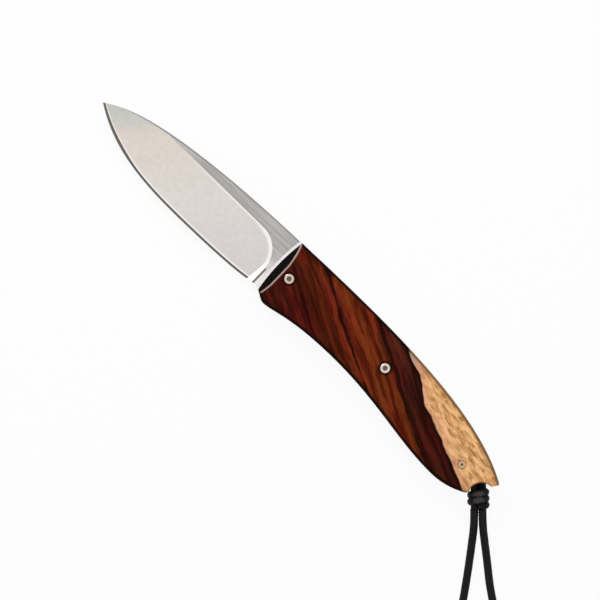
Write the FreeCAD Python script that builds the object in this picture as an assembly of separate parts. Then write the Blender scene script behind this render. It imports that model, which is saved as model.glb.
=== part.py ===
import FreeCAD, Part
import math
import os

V = FreeCAD.Vector

# A slip-joint folding knife, open and lying on its lower scale. All sizes are in millimetres.
# The origin is on the blade's pivot axis, in the plane of the lower scale's flat face.
# X runs along the handle to the butt, Y towards the spine and Z up through the handle's thickness.

# Thickness of the layers, from the outside in
scale_thickness = 3.8
liner_thickness = 1.0
washer_thickness = 0.2
blade_thickness = 2.5

# Clearances, and how far a cut reaches past what it cuts
axial_play = 0.02
fit_clearance = 0.02
running_clearance = 0.03
shoulder_gap = 0.05
reach_past = 5.0

# Handle outline from above: front end, spine, butt and belly
front_corner_x = -4.55
front_bulge = 0.85
spine_front_height = 10.57
spine_crest_x = 8.0
spine_crest_height = 10.68
spine_crest_handle = 25.0
spine_end_x = 88.0
spine_end_height = -0.5
spine_end_angle = 30.0
spine_end_handle = 22.0
butt_handle = 6.05
swell_x = 72.0
swell_depth = 12.88
swell_rear_handle = 11.1
swell_front_handle = 14.6
waist_x = 24.4
waist_depth = 8.07
waist_rear_handle = 21.0
waist_front_handle = 17.0
guard_x = -0.7
guard_depth = 10.75
guard_handle = 4.0
front_corner_depth = 8.85
liner_lip = 0.9

# Slanting cut across the butt and the round scoop in it
butt_cut_x = 85.55
butt_cut_depth = 6.15
butt_cut_angle = 33.9
scoop_radius = 4.2
scoop_offset = 2.27
scoop_chamfer = 0.35

# Crown of the scales along the bent handle, the flat land on its crest, their rim and front bevel
crown_bend_radius = 250.0
crown_bend_x = 22.0
crown_front_height = -0.9
land_depth = 0.3
rim_thickness = 1.45
rim_radius = 1.3
bevel_inner_x = -3.0
bevel_outer_x = -5.35
bevel_edge = 0.6

# Blade outline from above
blade_reach = 77.8
tip_height = -0.3
blade_spine_height = 10.5
blade_spine_angle = 0.5
blade_spine_handle = 58.6
spine_chamfer = 0.5
tip_spine_angle = 29.8
tip_spine_handle = 6.8
heel_x = -7.6
heel_depth = 8.4
heel_angle = 13.8
heel_handle = 5.0
edge_low_x = -34.2
edge_low_depth = 9.8
edge_low_heel_handle = 10.3
edge_low_tip_handle = 16.2
tip_edge_angle = 34.5
tip_edge_handle = 15.35

# Flat grind, its round plunge and the cutting bevel
grind_height = 5.9
grind_rise = 0.01
plunge_radius = 9.0
plunge_run = 2.2
edge_thickness = 0.5
edge_flat = 0.06
cutting_bevel = 0.7
grind_overrun = 1.3
bevel_overrun = 2.5

# Tang, pivot and washers
closing_angle = 172.0
shoulder_x = -3.9
tang_radius = 9.0
tang_flat_depth = 1.0
barrel_radius = 2.0
washer_radius = 4.6

# Back spring and its pins
spring_taper_x = 26.0
spring_taper_handle = 10.0
spring_tail_x = 68.0
spring_tail_height = 1.2
spring_tail_handle = 14.0
spring_tail_angle = 5.0
spring_end_x = 82.0
spring_end_height = 0.7
spring_pin_radius = 1.0
spring_mid_pin_x = 43.0
spring_tail_pin_x = 66.0

# Socket screws and the plain lanyard pin
head_radius = 1.65
head_height = 1.3
head_sink = 0.1
head_round = 0.35
shank_radius = 1.0
socket_width = 1.3
socket_depth = 0.7
pivot_screw_reach = 2.2
mid_screw_x = 39.55
mid_screw_height = 0.54
lanyard_pin_x = 76.4
lanyard_pin_height = -4.5
lanyard_pin_radius = 1.0

# Lanyard: an eye round the pin, a knot outside the butt and a pull loop that lies on the table
cord_diameter = 2.4
cord_slack = 0.1
knot_x = 87.4
knot_height = -8.5
knot_heading = -46.2
knot_length = 6.5
knot_radius = 3.35
knot_end_radius = 2.6
strand_offset = 1.25
neck_length = 2.2
arc_share = 0.45

# The pull loop's route from the knot: along its heading, across it and above the table
loop_route = [
    (4.5, 1.25, 6.27),
    (9.5, 1.9, 4.0),
    (16.0, 2.8, 1.35),
    (24.5, 3.7, 1.3),
    (33.0, 5.6, 1.3),
    (40.0, 8.1, 1.3),
    (47.0, 8.5, 1.3),
    (52.6, 5.2, 1.3),
    (54.6, -1.0, 1.3),
    (51.9, -6.9, 1.3),
    (46.0, -9.3, 1.3),
    (39.2, -8.1, 1.3),
    (32.4, -5.4, 1.3),
    (24.5, -3.9, 1.3),
    (16.0, -2.6, 1.35),
    (9.5, -1.8, 4.0),
    (4.5, -1.25, 6.27),
]

# Heights worked out from the layers, and the tang's height under the spring
gap = blade_thickness + 2 * (washer_thickness + axial_play)
liner_z = scale_thickness
gap_z = liner_z + liner_thickness
middle_z = gap_z + gap / 2
handle_thickness = 2 * middle_z
tang_flat = tang_radius - tang_flat_depth


def polar(length, degrees):
    """Vector of a length at an angle in the XY plane."""
    turn = math.radians(degrees)
    return V(length * math.cos(turn), length * math.sin(turn), 0)


def cubic(poles):
    """Edge along one cubic curve."""
    curve = Part.BezierCurve()
    curve.setPoles(poles)
    return curve.toShape()


def line(start, end):
    """Straight edge."""
    return Part.LineSegment(start, end).toShape()


def arc(start, middle, end):
    """Circular edge through three points."""
    return Part.Arc(start, middle, end).toShape()


def prism(edges, z, height):
    """Solid of a closed outline, from z upwards."""
    face = Part.Face(Part.Wire(edges))
    face.translate(V(0, 0, z))
    return face.extrude(V(0, 0, height))


def polygon(points):
    """Edges of a closed outline with straight sides."""
    return [line(a, b) for a, b in zip(points, points[1:] + points[:1])]


def cylinder(x, y, z, radius, height):
    """Upright cylinder from z upwards."""
    return Part.makeCylinder(radius, height, V(x, y, z))


def mirrored(shape):
    """The same piece on the other side of the knife's middle plane."""
    return shape.mirror(V(0, 0, middle_z), V(0, 0, 1))


def curve_height(edge, x):
    """Height of a curve that runs steadily along X, at a given X."""
    upright = line(V(x, -2 * guard_depth, 0), V(x, 2 * spine_crest_height, 0))
    return edge.distToShape(upright)[1][0][0].y


# Handle outline

front_top = V(front_corner_x, spine_front_height, 0)
front_bottom = V(front_corner_x, -front_corner_depth, 0)
crest = V(spine_crest_x, spine_crest_height, 0)
spine_end = V(spine_end_x, spine_end_height, 0)
swell = V(swell_x, -swell_depth, 0)
waist = V(waist_x, -waist_depth, 0)
guard = V(guard_x, -guard_depth, 0)

spine_fall = cubic([
    crest,
    crest + V(spine_crest_handle, 0, 0),
    spine_end - polar(spine_end_handle, -spine_end_angle),
    spine_end,
])


def front_end(lip):
    """Edges of the round front end, from belly to spine, that stands forward by a lip."""
    forward = V(-lip, 0, 0)
    middle = (front_top + front_bottom) / 2 + V(-front_bulge, 0, 0)
    edges = [arc(front_bottom + forward, middle + forward, front_top + forward)]
    if lip:
        edges.insert(0, line(front_bottom, front_bottom + forward))
        edges.append(line(front_top + forward, front_top))
    return edges


def handle_outline(lip=0):
    """Closed outline of the handle before the butt is cut."""
    lead = (crest.x - front_top.x) / 3
    return front_end(lip) + [
        cubic([front_top, front_top + V(lead, 0, 0), crest - V(lead, 0, 0), crest]),
        spine_fall,
        cubic([
            spine_end,
            spine_end + polar(butt_handle, -spine_end_angle),
            swell + V(swell_rear_handle, 0, 0),
            swell,
        ]),
        cubic([
            swell,
            swell - V(swell_front_handle, 0, 0),
            waist + V(waist_rear_handle, 0, 0),
            waist,
        ]),
        cubic([
            waist,
            waist - V(waist_front_handle, 0, 0),
            guard + V(guard_handle, 0, 0),
            guard,
        ]),
        cubic([
            guard,
            guard - V(abs(front_corner_x - guard_x) / 3, 0, 0),
            front_bottom + (guard - front_bottom) / 3,
            front_bottom,
        ]),
    ]


def butt_frame():
    """A point on the butt cut, the direction along it and its outward normal."""
    point = V(butt_cut_x, -butt_cut_depth, 0)
    return point, polar(1, 90 - butt_cut_angle), polar(1, -butt_cut_angle)


def butt_cutter(z, height):
    """Everything past the slanting butt, with the scoop."""
    point, along, out = butt_frame()
    width = swell_depth + spine_crest_height
    block = prism(
        polygon([
            point - along * width,
            point - along * width + out * width,
            point + along * width + out * width,
            point + along * width,
        ]),
        z,
        height,
    )
    centre = point + out * scoop_offset
    return block.fuse(cylinder(centre.x, centre.y, z, scoop_radius, height))


# Scales and liners

def front_bevel():
    """Wedge that bevels the lower scale's front end."""
    slope = (scale_thickness - bevel_edge) / (bevel_inner_x - bevel_outer_x)
    far_x = bevel_outer_x - reach_past
    far_z = slope * (bevel_inner_x - far_x)
    wedge = Part.Face(Part.Wire(polygon([
        V(bevel_inner_x + reach_past / slope, -guard_depth - reach_past, -reach_past),
        V(far_x, -guard_depth - reach_past, far_z),
        V(far_x, -guard_depth - reach_past, -reach_past),
    ])))
    return wedge.extrude(V(0, guard_depth + spine_crest_height + 2 * reach_past, 0))


def crown():
    """Round bar along the bent handle, whose underside crowns the lower scale."""
    half_width = spine_crest_height - crown_front_height
    fall = scale_thickness - rim_thickness + land_depth
    radius = (half_width ** 2 + fall ** 2) / (2 * fall)
    bend_y = crown_front_height - math.sqrt(crown_bend_radius ** 2 - crown_bend_x ** 2)
    return Part.makeTorus(crown_bend_radius, radius, V(crown_bend_x, bend_y, radius - land_depth))


def outer_rim(solid):
    """Edges where the crown meets the handle's sides, without the one at the front end."""
    rim = []
    for edge in solid.Edges:
        kinds = {face.Surface.TypeId for face in solid.ancestorsOfType(edge, Part.Face)}
        if kinds == {"Part::GeomToroid", "Part::GeomSurfaceOfExtrusion"}:
            rim.append(edge)
    return rim


def scoop_cone():
    """Cone that breaks the scoop's edge on the lower face."""
    point, _, out = butt_frame()
    foot = point + out * scoop_offset - V(0, 0, scoop_chamfer)
    return Part.makeCone(scoop_radius + 2 * scoop_chamfer, scoop_radius, 2 * scoop_chamfer, foot)


def lower_scale():
    """Wooden scale: crowned and rounded, with a flat land, front bevel, scooped butt and holes."""
    scale = prism(handle_outline(), -reach_past, scale_thickness + reach_past).common(crown())
    scale = scale.makeFillet(rim_radius, outer_rim(scale))
    scale = scale.common(prism(handle_outline(), 0, scale_thickness))
    scale = scale.cut(front_bevel())
    scale = scale.cut(butt_cutter(-reach_past, scale_thickness + 2 * reach_past))
    scale = scale.cut(scoop_cone())
    for x, y in [(0, 0), (mid_screw_x, mid_screw_height)]:
        scale = scale.cut(cylinder(x, y, 0, shank_radius + fit_clearance, scale_thickness))
        scale = scale.cut(cylinder(x, y, 0, head_radius + fit_clearance, head_sink + head_height))
    hole = lanyard_pin_radius + fit_clearance
    return scale.cut(cylinder(lanyard_pin_x, lanyard_pin_height, 0, hole, scale_thickness))


# Underside of the back spring, which the spring's pins also follow

spring_nose = V(shoulder_x + shoulder_gap, tang_flat, 0)
spring_taper = V(spring_taper_x, tang_flat, 0)
spring_tail = V(spring_tail_x, spring_tail_height, 0)
spring_underside = cubic([
    spring_taper,
    spring_taper + V(spring_taper_handle, 0, 0),
    spring_tail - polar(spring_tail_handle, -spring_tail_angle),
    spring_tail,
])


def spring_pin_places():
    """X and Y of the two pins that hold the back spring, halfway through its depth."""
    places = []
    for x in (spring_mid_pin_x, spring_tail_pin_x):
        places.append((x, (curve_height(spine_fall, x) + curve_height(spring_underside, x)) / 2))
    return places


def lower_liner():
    """Steel liner under the scale, with its pin and screw holes."""
    liner = prism(handle_outline(liner_lip), liner_z, liner_thickness)
    liner = liner.cut(butt_cutter(liner_z - reach_past, liner_thickness + 2 * reach_past))
    holes = [
        (0, 0, barrel_radius),
        (mid_screw_x, mid_screw_height, shank_radius),
        (lanyard_pin_x, lanyard_pin_height, lanyard_pin_radius),
    ]
    holes += [(x, y, spring_pin_radius) for x, y in spring_pin_places()]
    for x, y, radius in holes:
        liner = liner.cut(cylinder(x, y, liner_z, radius + fit_clearance, liner_thickness))
    return liner


# Blade

tip = V(-blade_reach, tip_height, 0)
heel = V(heel_x, -heel_depth, 0)
edge_low = V(edge_low_x, -edge_low_depth, 0)
edge_poles = [
    [
        heel,
        heel + polar(heel_handle, 180 + heel_angle),
        edge_low + V(edge_low_heel_handle, 0, 0),
        edge_low,
    ],
    [
        edge_low,
        edge_low - V(edge_low_tip_handle, 0, 0),
        tip + polar(tip_edge_handle, -tip_edge_angle),
        tip,
    ],
]


def tang_outline():
    """Edges of the tang from the spring shoulder round to the heel: three flats joined by arcs."""
    half_turn = math.degrees(math.acos(tang_flat / tang_radius))
    flat_directions = [90 - closing_angle * share for share in (0, 0.5, 1)]
    edges = []
    last = V(shoulder_x, tang_flat, 0)
    for place, direction in enumerate(flat_directions):
        start = polar(tang_radius, direction + half_turn)
        end = polar(tang_radius, direction - half_turn)
        if place:
            previous = flat_directions[place - 1]
            edges.append(arc(last, polar(tang_radius, (previous + direction) / 2), start))
            last = start
        edges.append(line(last, end))
        last = end
    edges.append(line(last, heel))
    return edges


def blade_plate():
    """Plate of the open blade with its tang, with both edges of its spine chamfered."""
    shoulder_top = V(shoulder_x, blade_spine_height, 0)
    spine = cubic([
        tip,
        tip + polar(tip_spine_handle, tip_spine_angle),
        shoulder_top + polar(blade_spine_handle, 180 + blade_spine_angle),
        shoulder_top,
    ])
    shoulder = line(shoulder_top, V(shoulder_x, tang_flat, 0))
    outline = [spine, shoulder] + tang_outline() + [cubic(poles) for poles in edge_poles]
    plate = prism(outline, -blade_thickness / 2, blade_thickness)
    along_spine = [edge for edge in plate.Edges if abs(edge.Length - spine.Length) < fit_clearance]
    return plate.makeChamfer(spine_chamfer, along_spine)


def grind_point(x):
    """Point of the grind line on the blade's flat side."""
    return V(x, grind_height + grind_rise * (heel_x - x), blade_thickness / 2)


def above(inner, outer, overrun):
    """Solid above the ruled face between two curves, which runs on past the outer one."""
    far = [a + (b - a) * overrun for a, b in zip(inner, outer)]
    face = Part.makeRuledSurface(cubic(inner), cubic(far))
    return face.extrude(V(0, 0, 2 * blade_thickness))


def plunge_outline(inset, z):
    """Ground area with its round plunge, drawn in by an inset."""
    radius = plunge_radius - inset
    plunge_x = heel_x - inset
    top = grind_height + grind_rise * plunge_radius - inset
    centre = V(plunge_x - radius, top - radius, 0)
    far_x = -blade_reach - reach_past
    far_top = top + grind_rise * (centre.x - far_x)
    low = -edge_low_depth - 2 * reach_past
    arc_start = centre + polar(radius, 90)
    arc_end = centre + polar(radius, 0)
    edges = [
        line(V(far_x, far_top, 0), arc_start),
        arc(arc_start, centre + polar(radius, 45), arc_end),
        line(arc_end, V(plunge_x, low, 0)),
        line(V(plunge_x, low, 0), V(far_x, low, 0)),
        line(V(far_x, low, 0), V(far_x, far_top, 0)),
    ]
    wire = Part.Wire(edges)
    wire.translate(V(0, 0, z))
    return wire


def bevel_cutters():
    """What the grind and the cutting bevel take off the blade's upper side."""
    half = blade_thickness / 2
    room = Part.makeLoft(
        [plunge_outline(-plunge_run, 2 * half), plunge_outline(plunge_run, 0)], True, True
    )
    cutters = []
    for poles in edge_poles:
        grind = [grind_point(pole.x) for pole in poles]
        shelf = [pole + V(0, cutting_bevel, edge_thickness / 2) for pole in poles]
        lip = [pole + V(0, 0, edge_flat / 2) for pole in poles]
        cutters.append(above(grind, shelf, grind_overrun).common(room))
        cutters.append(above(shelf, lip, bevel_overrun).common(room))
    return cutters


def blade():
    """Blade ground on both sides, with the pivot bore in its tang."""
    plate = blade_plate()
    for cutter in bevel_cutters():
        plate = plate.cut(cutter)
        plate = plate.cut(cutter.mirror(V(0, 0, 0), V(0, 0, 1)))
    bore = barrel_radius + running_clearance
    plate = plate.cut(cylinder(0, 0, -blade_thickness, bore, 2 * blade_thickness))
    plate.translate(V(0, 0, middle_z))
    return plate


# Back spring

def back_spring():
    """Spring along the spine: a slim nose on the tang, and a deep tail that is pinned to the liners."""
    end = V(spring_end_x, spring_end_height, 0)
    top = spine_crest_height + reach_past
    region = prism(
        [
            line(spring_nose, spring_taper),
            spring_underside,
            line(spring_tail, end),
            line(end, V(end.x, top, 0)),
            line(V(end.x, top, 0), V(spring_nose.x, top, 0)),
            line(V(spring_nose.x, top, 0), spring_nose),
        ],
        gap_z,
        gap,
    )
    spring = prism(handle_outline(), gap_z, gap).common(region)
    for x, y in spring_pin_places():
        spring = spring.cut(cylinder(x, y, gap_z, spring_pin_radius + fit_clearance, gap))
    return spring


# Pivot, pins and screws

def washer():
    """Bronze washer on the lower liner."""
    bore = barrel_radius + running_clearance
    ring = cylinder(0, 0, gap_z, washer_radius, washer_thickness)
    return ring.cut(cylinder(0, 0, gap_z, bore, washer_thickness))


def pivot_barrel():
    """Threaded sleeve between the liners' outer faces, which the blade turns on."""
    length = gap + 2 * liner_thickness
    barrel = cylinder(0, 0, liner_z, barrel_radius, length)
    return barrel.cut(cylinder(0, 0, liner_z, shank_radius + fit_clearance, length))


def socket_screw(x, y, end_z):
    """Round-headed socket screw in the lower scale, with its shank up to a height."""
    head = cylinder(x, y, head_sink, head_radius, head_height)
    rim = [edge for edge in head.Edges if edge.BoundBox.ZMax < head_sink + fit_clearance]
    head = head.makeFillet(head_round, rim)
    across_corners = 2 * socket_width / math.sqrt(3)
    hexagon = polygon([V(x, y, 0) + polar(across_corners / 2, 60 * n) for n in range(6)])
    head = head.cut(prism(hexagon, 0, head_sink + socket_depth))
    neck_z = head_sink + head_height
    shank = cylinder(x, y, neck_z, shank_radius, end_z - neck_z)
    return head.fuse(shank).removeSplitter()


def through_pin(x, y, z, radius):
    """Plain pin that ends as far from the upper face as it starts from the lower one."""
    return cylinder(x, y, z, radius, handle_thickness - 2 * z)


# Lanyard

knot = V(knot_x, knot_height, middle_z)
knot_along = polar(1, knot_heading)
knot_across = polar(1, knot_heading + 90)


def corner(before, point, after):
    """Largest arc that rounds a point of a route: its start, middle and end, and its radius."""
    back = before - point
    on = after - point
    reach = arc_share * min(back.Length, on.Length)
    turn = math.pi - back.getAngle(on)
    radius = reach / math.tan(turn / 2)
    back.normalize()
    on.normalize()
    inward = back + on
    inward.normalize()
    depth = radius * (1 / math.cos(turn / 2) - 1)
    return point + back * reach, point + inward * depth, point + on * reach, radius


def tube(path):
    """Round cord along a path, with its volume set against section times length."""
    first = path.Edges[0]
    begin = first.FirstParameter
    ring = Part.Circle(first.valueAt(begin), first.tangentAt(begin), cord_diameter / 2)
    solid = path.makePipeShell([Part.Wire(ring.toShape())], True, False)
    expected = math.pi * cord_diameter ** 2 / 4 * path.Length
    print("cord length", round(path.Length, 1), "volume share", round(solid.Volume / expected, 4))
    return solid


def lanyard_eye():
    """Short doubled cord from the knot, round the lanyard pin and back."""
    pin = V(lanyard_pin_x, lanyard_pin_height, middle_z)
    radius = lanyard_pin_radius + cord_slack + cord_diameter / 2
    entry = knot - knot_along * (knot_length / 2)
    strands = []
    for side in (1, -1):
        outer = entry + knot_across * (side * strand_offset)
        bend = outer - knot_along * neck_length
        away = bend - pin
        spread = math.degrees(math.acos(radius / away.Length))
        lead = math.degrees(math.atan2(away.y, away.x))
        touch = pin + polar(radius, lead + side * spread)
        strands.append((outer, corner(outer, bend, touch), touch))
    (start, bend_a, touch_a), (end, bend_b, touch_b) = strands
    back = pin * 2 - (touch_a + touch_b) / 2 - pin
    back.normalize()
    return tube(Part.Wire([
        line(start, bend_a[0]),
        arc(*bend_a[:3]),
        line(bend_a[2], touch_a),
        arc(touch_a, pin + back * radius, touch_b),
        line(touch_b, bend_b[2]),
        arc(bend_b[2], bend_b[1], bend_b[0]),
        line(bend_b[0], end),
    ]))


def lanyard_knot():
    """Barrel-shaped knot outside the scoop."""
    half = knot_length / 2
    profile = Part.Face(Part.Wire([
        line(V(-half, 0, 0), V(-half, knot_end_radius, 0)),
        arc(V(-half, knot_end_radius, 0), V(0, knot_radius, 0), V(half, knot_end_radius, 0)),
        line(V(half, knot_end_radius, 0), V(half, 0, 0)),
        line(V(half, 0, 0), V(-half, 0, 0)),
    ]))
    solid = profile.revolve(V(0, 0, 0), V(1, 0, 0), 360)
    solid.rotate(V(0, 0, 0), V(0, 0, 1), knot_heading)
    solid.translate(knot)
    return solid


def lanyard_cord():
    """Pull loop from the knot, down to the table, round its bight and back."""
    exit_point = knot + knot_along * (knot_length / 2)
    base = V(exit_point.x, exit_point.y, 0)
    points = [exit_point + knot_across * strand_offset]
    points += [base + knot_along * s + knot_across * w + V(0, 0, z) for s, w, z in loop_route]
    points += [exit_point - knot_across * strand_offset]
    edges = []
    last = points[0]
    radii = []
    for before, point, after in zip(points, points[1:], points[2:]):
        start, middle, end, radius = corner(before, point, after)
        edges += [line(last, start), arc(start, middle, end)]
        radii.append(round(radius, 1))
        last = end
    edges.append(line(last, points[-1]))
    print("pull loop radii", radii)
    return tube(Part.Wire(edges))


# Every piece, with the upper side mirrored from the lower one

pivot_screw = socket_screw(0, 0, liner_z + pivot_screw_reach)
mid_screw = socket_screw(mid_screw_x, mid_screw_height, gap_z)
mid_pin, tail_pin = spring_pin_places()

pieces = {
    "blade": blade(),
    "back_spring": back_spring(),
    "spring_mid_pin": through_pin(*mid_pin, liner_z, spring_pin_radius),
    "spring_tail_pin": through_pin(*tail_pin, liner_z, spring_pin_radius),
    "pivot_barrel": pivot_barrel(),
    "lanyard_pin": through_pin(lanyard_pin_x, lanyard_pin_height, head_sink, lanyard_pin_radius),
    "lanyard_eye": lanyard_eye(),
    "lanyard_knot": lanyard_knot(),
    "lanyard_cord": lanyard_cord(),
}
sides = {
    "scale": lower_scale(),
    "liner": lower_liner(),
    "washer": washer(),
    "pivot_screw": pivot_screw,
    "mid_screw": mid_screw,
}
for name, shape in sides.items():
    pieces["lower_" + name] = shape
    pieces["upper_" + name] = mirrored(shape)

os.makedirs("parts", exist_ok=True)
for name, shape in pieces.items():
    shape.exportStep("parts/" + name + ".step")
    print(name, "valid" if shape.isValid() else "INVALID", len(shape.Solids), round(shape.Volume, 1))
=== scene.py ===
# %% [markdown]
# # A folding pocket knife with a wooden handle
# The imported model already holds every rigid piece of the knife at its real size: blade, spring,
# liners, wooden scales, pins and screws. This lesson gives those pieces their finish and makes the
# one soft piece, the black lanyard, from real braided yarns.

# %% The imported model
import math

import bmesh
import bpy
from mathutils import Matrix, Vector


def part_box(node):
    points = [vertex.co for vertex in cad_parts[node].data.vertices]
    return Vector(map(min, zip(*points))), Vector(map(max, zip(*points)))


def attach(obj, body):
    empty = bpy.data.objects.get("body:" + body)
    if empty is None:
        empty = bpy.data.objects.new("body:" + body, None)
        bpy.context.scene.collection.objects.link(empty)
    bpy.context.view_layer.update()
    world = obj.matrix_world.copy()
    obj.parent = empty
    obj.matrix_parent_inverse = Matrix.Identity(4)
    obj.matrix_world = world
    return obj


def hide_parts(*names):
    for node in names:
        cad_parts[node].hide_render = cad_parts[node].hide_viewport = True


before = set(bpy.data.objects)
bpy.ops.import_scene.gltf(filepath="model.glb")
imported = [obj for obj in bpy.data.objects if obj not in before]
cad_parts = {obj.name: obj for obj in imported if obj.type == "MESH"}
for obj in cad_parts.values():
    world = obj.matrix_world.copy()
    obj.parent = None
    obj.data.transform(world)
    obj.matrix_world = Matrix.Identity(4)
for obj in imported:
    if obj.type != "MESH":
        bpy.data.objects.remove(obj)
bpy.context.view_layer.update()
mm = 0.001

# %% [markdown]
# ## Camera
# The knife is seen from straight above, with its blade towards the upper left. A near camera would
# make the handle, which stands higher than the blade, look too large. A long lens far away keeps
# both at one scale, so the width of the view can be given as a length on the knife.

# %% Camera
view_turn = math.radians(43.7)
view_width = 181.8 * mm
view_x, view_y = 6.76 * mm, -2.34 * mm
lens_length = 300
blade_low, blade_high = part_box("blade")
middle_z = (blade_low[2] + blade_high[2]) / 2

camera = bpy.data.objects.new("camera", bpy.data.cameras.new("camera"))
camera.data.lens = lens_length
camera_height = view_width * lens_length / camera.data.sensor_width
camera.location = (view_x, view_y, middle_z + camera_height)
camera.rotation_euler = (0, 0, view_turn)
bpy.context.collection.objects.link(camera)
bpy.context.scene.camera = camera
bpy.context.scene.view_settings.view_transform = "Standard"
print("camera stands", round(camera_height, 3), "m above the blade")

# %% [markdown]
# ## The lanyard's route
# A thin cord goes round a pin inside the butt, through a knot outside it, and on into a pull loop
# that lies on the table. Its course is given as a few points that are easy to change. They
# are counted from the knot's outer end in millimetres: along the knot, across it and above the
# table. The loop leaves the knot at full height, sinks to the table, turns round and comes back.

# %% Lanyard route
strand_offset = 1.25 * mm
knot_heading = math.radians(-46.2)
knot_half = 3.25 * mm
knot_low, knot_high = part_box("lanyard_knot")
knot = (Vector(knot_low) + Vector(knot_high)) / 2
knot_along = Vector((math.cos(knot_heading), math.sin(knot_heading), 0))
knot_across = Vector((-knot_along.y, knot_along.x, 0))
at_knot, sinking, landing, on_table = 6.27, 4.0, 1.35, 1.3
loop_route = [
    (4.5, 1.25, at_knot),
    (9.5, 1.9, sinking),
    (16.0, 2.8, landing),
    (24.5, 3.7, on_table),
    (33.0, 5.6, on_table),
    (40.0, 8.1, on_table),
    (47.0, 8.5, on_table),
    (52.6, 5.2, on_table),
    (54.6, -1.0, on_table),
    (51.9, -6.9, on_table),
    (46.0, -9.3, on_table),
    (39.2, -8.1, on_table),
    (32.4, -5.4, on_table),
    (24.5, -3.9, on_table),
    (16.0, -2.6, landing),
    (9.5, -1.8, sinking),
    (4.5, -1.25, at_knot),
]


def beside_knot(reach, aside):
    """Point at the knot's height, along its heading and across it."""
    return knot + knot_along * reach + knot_across * aside


loop_points = [beside_knot(knot_half, strand_offset)]
for reach, aside, height in loop_route:
    point = beside_knot(knot_half + reach * mm, aside * mm)
    loop_points.append(Vector((point.x, point.y, height * mm)))
loop_points.append(beside_knot(knot_half, -strand_offset))
print("the loop's route has", len(loop_points), "points")

# %% [markdown]
# ## A smooth line
# Straight runs between the points would make the cord look like bent wire. A NURBS spline takes them
# as control points and draws one smooth line that starts and ends at the knot. The line comes back
# as a row of points, close enough together for the yarns that wind round it.

# %% Smooth line
spline_order = 3
loop_steps = 44


def add_spline(curve, kind, points):
    """Add a spline with a row of points to a curve."""
    spline = curve.splines.new(kind)
    spline.points.add(len(points) - 1)
    for place, point in zip(spline.points, points):
        place.co = (*point, 1)
    return spline


def mesh_of(curve):
    """Mesh of a curve, which isn't needed any longer after that."""
    holder = bpy.data.objects.new(curve.name, curve)
    mesh = bpy.data.meshes.new_from_object(holder)
    bpy.data.objects.remove(holder)
    bpy.data.curves.remove(curve)
    return mesh


def smooth_line(points, steps):
    """Points on the smooth line past a few control points, so many for each of them."""
    curve = bpy.data.curves.new("route", "CURVE")
    curve.dimensions = "3D"
    curve.resolution_u = steps
    spline = add_spline(curve, "NURBS", points)
    spline.order_u = spline_order
    spline.use_endpoint_u = True
    mesh = mesh_of(curve)
    line = [vertex.co.copy() for vertex in mesh.vertices]
    bpy.data.meshes.remove(mesh)
    return line


def line_length(line):
    """Length along a line of points."""
    return sum((b - a).length for a, b in zip(line, line[1:]))


loop_line = smooth_line(loop_points, loop_steps)
print("pull loop is", round(line_length(loop_line) / mm, 1), "mm long")

# %% [markdown]
# ## Directions along a line
# A yarn that winds round a line needs two directions square to it at each point. Worked out anew at
# every point, they could flip over where the cord bends, and the braid would twist there. So one
# direction is carried on from point to point and only made square again.

# %% Directions along a line
def carried_frames(line):
    """Each point of a line with two directions square to it and the length up to there."""
    frames = []
    side = (line[1] - line[0]).orthogonal()
    run = 0.0
    for place, point in enumerate(line):
        ahead = line[min(place + 1, len(line) - 1)] - line[max(place - 1, 0)]
        ahead.normalize()
        side = (side - ahead * side.dot(ahead)).normalized()
        if place:
            run += (point - line[place - 1]).length
        frames.append((point, side, ahead.cross(side), run))
    return frames


loop_frames = carried_frames(loop_line)
print("directions carried past", len(loop_frames), "points of the loop")

# %% [markdown]
# ## One yarn
# The cord is a round braid of nylon: eight yarns wind to the left and eight to the right, each over
# one and under the next. A plain tube with a bumpy finish would stay smooth at its outline, so the
# yarns are real. Each follows a helix whose radius swells where it passes over another yarn and
# shrinks where it passes under.

# %% One yarn
cord_diameter = 2.4 * mm
yarns_each_way = 8
yarn_radius = 0.3 * mm
braid_pitch = 7.0 * mm
weave_lift = 0.08 * mm
yarn_orbit = cord_diameter / 2 - yarn_radius
full_turn = 2 * math.pi


def yarn_path(frames, way, start):
    """Points of one yarn, which winds one way or the other from a share of a turn."""
    points = []
    for point, side, up, run in frames:
        turns = run / braid_pitch
        angle = full_turn * (way * turns + start)
        lift = way * weave_lift * math.cos(full_turn * yarns_each_way * turns)
        outward = side * math.cos(angle) + up * math.sin(angle)
        points.append(point + outward * (yarn_orbit + lift))
    return points


yarn_length = line_length(yarn_path(loop_frames, 1, 0.0))
print("one yarn of the loop is", round(yarn_length / mm, 1), "mm long")

# %% [markdown]
# ## From yarns to cord
# A curve with a round bevel turns all yarns of a cord into tubes at once. The caps come out loose from
# the ends of the tubes, so points that lie in one place are merged, and each yarn is a closed body.
# The yarns aren't joined to each other, because those of a real braid aren't either.

# %% Braid
tube_rounding = 1
seam_gap = 0.0001 * mm


def braid(name, line):
    """Piece of braided cord along a line."""
    curve = bpy.data.curves.new(name, "CURVE")
    curve.dimensions = "3D"
    curve.bevel_depth = yarn_radius
    curve.bevel_resolution = tube_rounding
    curve.use_fill_caps = True
    frames = carried_frames(line)
    for way in (1, -1):
        for yarn in range(yarns_each_way):
            add_spline(curve, "POLY", yarn_path(frames, way, yarn / yarns_each_way))
    mesh = mesh_of(curve)
    closed = bmesh.new()
    closed.from_mesh(mesh)
    bmesh.ops.remove_doubles(closed, verts=closed.verts, dist=seam_gap)
    closed.to_mesh(mesh)
    closed.free()
    mesh.name = name
    mesh.shade_smooth()
    piece = bpy.data.objects.new(name, mesh)
    bpy.context.collection.objects.link(piece)
    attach(piece, "handle")
    print(name, "has", len(mesh.polygons), "faces")
    return piece


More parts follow.
